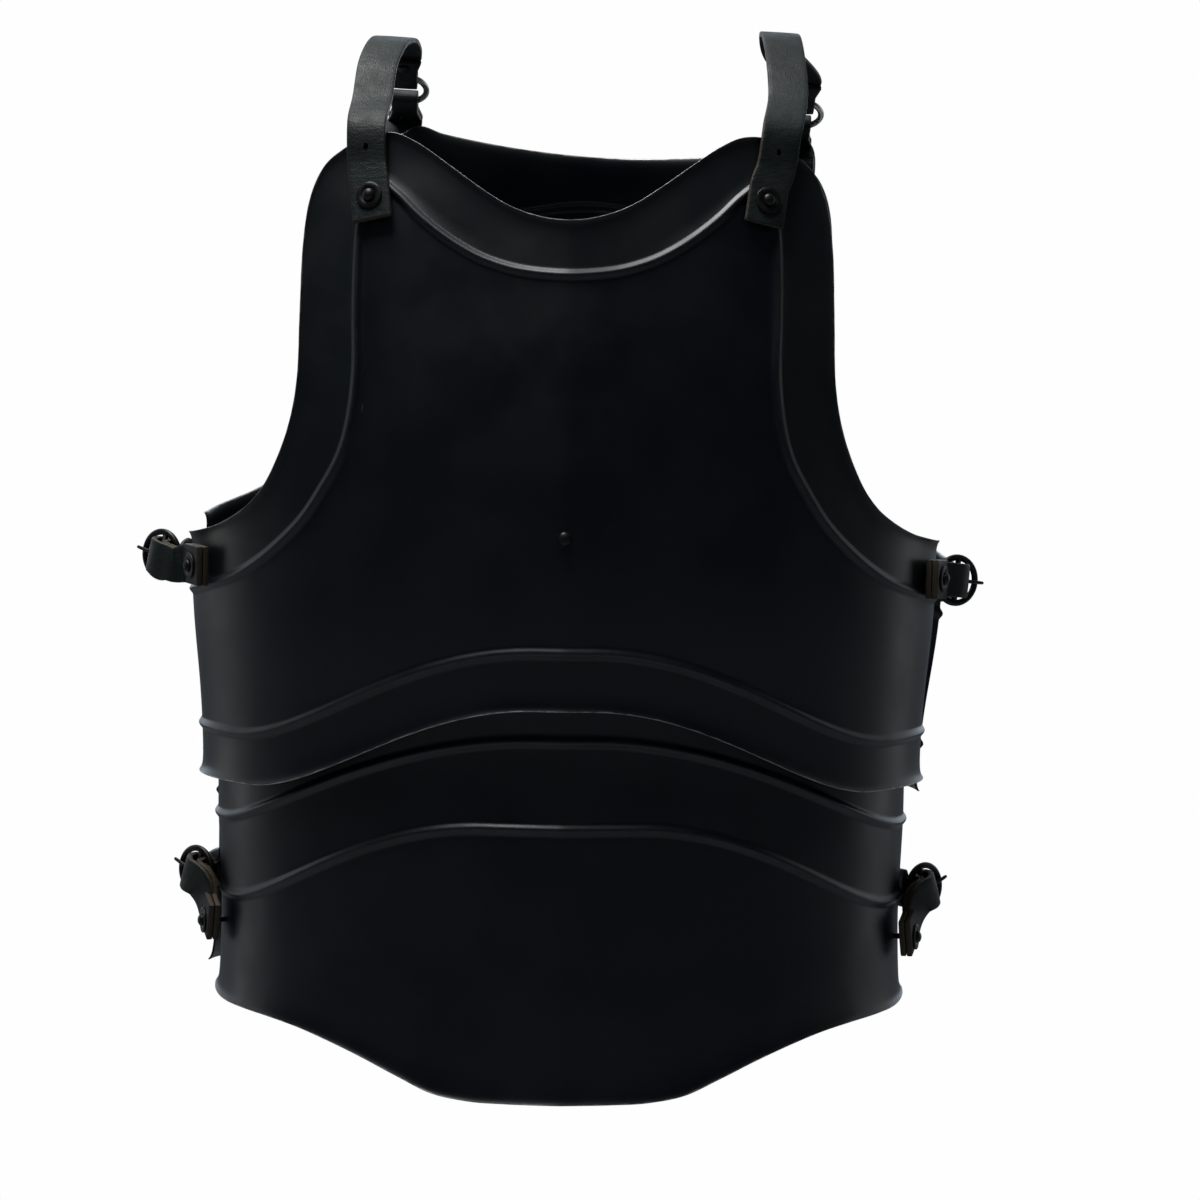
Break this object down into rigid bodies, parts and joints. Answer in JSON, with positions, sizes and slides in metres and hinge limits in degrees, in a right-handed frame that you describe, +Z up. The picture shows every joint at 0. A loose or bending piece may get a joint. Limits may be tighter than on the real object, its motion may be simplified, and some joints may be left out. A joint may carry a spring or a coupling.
{
  "type": "steel cuirass",
  "caption": "Blackened steel breastplate and backplate of riveted lames with beaded edges, joined by leather shoulder straps on rings and by side buckles.",
  "frame": {"origin": "the point between the undersides of the two shoulder straps' tops, over the body's middle, where the cuirass hangs from the wearer's shoulders", "axes": "+Z up, -Y the breastplate's side, +X the viewer's right when the breastplate is faced"},
  "size_m": [0.4519, 0.2739, 0.5487],
  "materials": {
    "black_steel": "blackened steel, satin, with bare thin edges",
    "dark_leather": "dark grey-green strap leather with tan cut edges",
    "black_iron": "black iron rings, tongues, rivets and washers",
    "nickel": "nickel-plated round rings"
  },
  "bodies": {
    "root": {"front_upper_plate": "black_steel", "front_lower_plate": "black_steel", "back_upper_plate": "black_steel", "back_lower_plate": "black_steel", "front_centre_rivet": "black_iron", "back_centre_rivet": "black_iron", "left_shoulder_strap": "dark_leather", "left_shoulder_tab": "dark_leather", "left_shoulder_ring": "nickel", "left_shoulder_strap_rivet": "black_iron", "left_shoulder_strap_washer": "black_iron", "left_shoulder_tab_rivet": "black_iron", "left_closing_rivet": "black_iron", "left_fold_rivet": "black_iron", "right_shoulder_strap": "dark_leather", "right_shoulder_tab": "dark_leather", "right_shoulder_ring": "nickel", "right_shoulder_strap_rivet": "black_iron", "right_shoulder_strap_washer": "black_iron", "right_shoulder_tab_rivet": "black_iron", "right_closing_rivet": "black_iron", "right_fold_rivet": "black_iron", "left_upper_tab": "dark_leather", "left_upper_back_strap": "dark_leather", "left_upper_ring": "black_iron", "left_upper_tongue": "black_iron", "left_upper_tab_washer": "black_iron", "left_upper_tab_rivet": "black_iron", "left_upper_back_strap_rivet": "black_iron", "right_upper_tab": "dark_leather", "right_upper_back_strap": "dark_leather", "right_upper_ring": "black_iron", "right_upper_tongue": "black_iron", "right_upper_tab_washer": "black_iron", "right_upper_tab_rivet": "black_iron", "right_upper_back_strap_rivet": "black_iron", "left_lower_tab": "dark_leather", "left_lower_back_strap": "dark_leather", "left_lower_ring": "black_iron", "left_lower_tongue": "black_iron", "left_lower_tab_washer": "black_iron", "left_lower_tab_rivet": "black_iron", "left_lower_back_strap_rivet": "black_iron", "right_lower_tab": "dark_leather", "right_lower_back_strap": "dark_leather", "right_lower_ring": "black_iron", "right_lower_tongue": "black_iron", "right_lower_tab_washer": "black_iron", "right_lower_tab_rivet": "black_iron", "right_lower_back_strap_rivet": "black_iron"}
  },
  "joints": []
}
